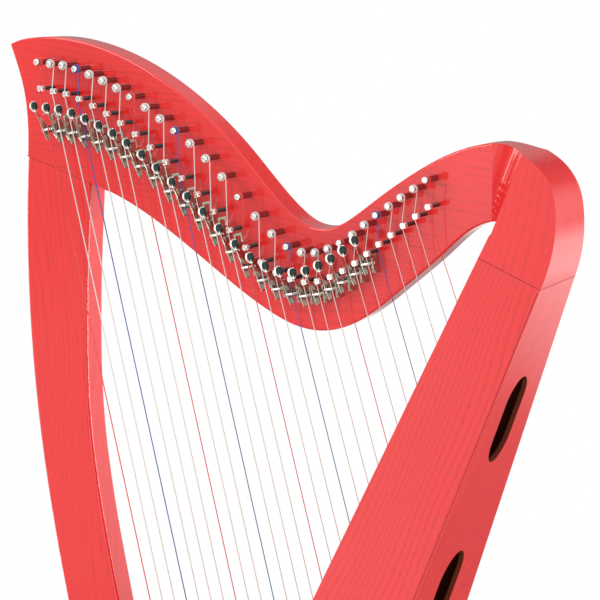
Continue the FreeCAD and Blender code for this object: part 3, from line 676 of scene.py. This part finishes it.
def studio_world():
    """White as light and as background. Reflections see WALLS, a white ceiling and a white low band."""
    world = bpy.data.worlds.new("studio")
    world.use_nodes = True
    tree = world.node_tree
    background = tree.nodes["Background"]
    coords = tree.nodes.new("ShaderNodeTexCoord")
    split = tree.nodes.new("ShaderNodeSeparateXYZ")
    tree.links.new(coords.outputs["Generated"], split.inputs["Vector"])
    front = math_node(tree, "MULTIPLY", split.outputs["Y"], -1.0)
    turn = math_node(tree, "ARCTAN2", split.outputs["X"], front)
    around = math_node(tree, "ADD", math_node(tree, "DIVIDE", turn, 2 * math.pi), 0.5)
    walls = ramp(tree, around, [((angle + 180) / 360, grey(value)) for angle, value in WALLS])
    ceiling = ramp(tree, split.outputs["Z"], [(0.45, grey(0.0)), (0.60, grey(1.0))])
    low_band = ramp(tree, math_node(tree, "MULTIPLY", split.outputs["Z"], -1.0),
                    [(0.11, grey(0.0)), (0.17, grey(1.0)), (0.27, grey(1.0)), (0.36, grey(0.0))])
    seen = mix_colour(tree, low_band, mix_colour(tree, ceiling, walls, grey(1.0)), grey(1.0))
    path = tree.nodes.new("ShaderNodeLightPath")
    colour = mix_colour(tree, path.outputs["Is Glossy Ray"], grey(1.0), seen)
    tree.links.new(colour, background.inputs["Color"])
    background.inputs["Strength"].default_value = 1.0
    bpy.context.scene.world = world


def build_stage():
    """Pale round floor, the studio world and two soft lights."""
    bm = bmesh.new()
    corners = [bm.verts.new((FLOOR_RADIUS * math.cos(a), FLOOR_RADIUS * math.sin(a), 0))
               for a in (2 * math.pi * i / 96 for i in range(96))]
    bm.faces.new(corners)
    material, _, shader = new_material("studio_floor")
    set_sockets(shader, Base_Color=(0.90, 0.90, 0.90, 1), Roughness=0.9, Specular_IOR_Level=0.1)
    floor = make_object("studio_floor", bm, [material])
    floor.visible_glossy = False
    bpy.context.scene.view_settings.view_transform = "Standard"
    studio_world()
    area_light("key", position=(-1.4, -2.6, 2.4), target=(0, 0, 0.8), size=(1.2, 1.0), energy=26)
    area_light("fill", position=(2.4, 0.9, 0.5), target=(0.1, 0, 0.7), size=(1.0, 1.4), energy=36)


GLUE_PROUD = 0.07           # glue lines stand out of the wood by this much
COLUMN_GLUE_HALF = 0.3      # half the thickness of the neck and column's glue line
BOX_GLUE_HALF = 0.4         # and of the shoulder and box's
SEAM_INSET = 1.3            # glue line of the back panel, from the back corner
SEAM_NARROWING = 0.15       # the same line, in from the side panel's face
SEAM_ENDS = (3.0, 790.0)    # down the box
SEAM_RADIUS = 0.45


def joint_plate(bm, front, back, half_width, normal, half_thick):
    """Thin plate across the frame between two points of its middle plane."""
    out = Vector((0, half_width, 0))
    corners = [front - out, back - out, back + out, front + out]
    skin_rings(bm, [[corner + normal * offset for corner in corners]
                    for offset in (-half_thick, half_thick)])


def make_joint_lines():
    """Thin dark glue lines that show where the frame's pieces meet."""
    bm = bmesh.new()
    outer = COLUMN_JOINT_OUTER - Vector((GLUE_PROUD, 0, 0))
    inner = COLUMN_JOINT_INNER + Vector((GLUE_PROUD, 0, 0))
    normal = (inner - outer).normalized().cross(Vector((0, 1, 0)))
    joint_plate(bm, outer, inner, NECK_HALF + GLUE_PROUD, normal, COLUMN_GLUE_HALF)
    front = BOX_TOP - TO_PLAYER * GLUE_PROUD
    back = BOX_TOP + TO_PLAYER * (BOX_DEPTH + GLUE_PROUD)
    joint_plate(bm, front, back, BOX_HALF_WIDTH + GLUE_PROUD, DOWN_BOX, BOX_GLUE_HALF)
    for side in (-1, 1):
        seam = []
        for down in SEAM_ENDS:
            wide = side * (BOX_HALF_WIDTH + BOX_WIDENING * down - SEAM_NARROWING)
            deep = BOX_DEPTH + BOX_DEEPENING * down - SEAM_INSET
            seam.append(BOX_TOP + DOWN_BOX * down + TO_PLAYER * deep + Vector((0, wide, 0)))
        tube(bm, seam, SEAM_RADIUS, sides=6)
    dark = moulded("joint_glue", (0.30, 0.005, 0.008, 1), (0.38, 0.008, 0.010, 1), 0.4)
    obj = make_object("joint_lines", bm, [dark])
    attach(obj, "frame")


CAMERA_DISTANCE = 2.0       # metres


def build_camera():
    """Camera at the photograph's viewing angle."""
    look_at = Vector((0.0316, -0.017, 0.75))
    azimuth, elevation = math.radians(25.2), math.radians(8.75)
    back = Vector((math.sin(azimuth) * math.cos(elevation), -math.cos(azimuth) * math.cos(elevation),
                   math.sin(elevation)))
    data = bpy.data.cameras.new("camera")
    data.lens = 120
    data.sensor_width = 36
    obj = bpy.data.objects.new("camera", data)
    obj.location = look_at + back * CAMERA_DISTANCE
    obj.rotation_euler = (-back).to_track_quat("-Z", "Y").to_euler()
    bpy.context.scene.collection.objects.link(obj)
    bpy.context.scene.camera = obj


build_camera()
build_stage()
finish_cad_nodes()
for wood in ("soundboard", "side_panel_left", "side_panel_right", "back_panel", "shoulder_block"):
    soften(wood, 0.0007)
soften("lever_brackets", 0.00015)
# Of each seven strings, counted from the longest, the first is a C and the fourth an F
c_strings = [k for k in range(1, STRING_COUNT + 1) if k % 7 == 1]
f_strings = [k for k in range(1, STRING_COUNT + 1) if k % 7 == 4]
plain = [k for k in range(1, STRING_COUNT + 1) if k not in c_strings + f_strings]
make_strings("strings_c_wound", "strings_c", c_strings, nylon_red)
make_strings("strings_f_wound", "strings_f", f_strings, nylon_blue)
make_strings("strings_p_wound", "strings_plain", plain, nylon_clear)
make_bridge_pins()
make_levers()
make_joint_lines()
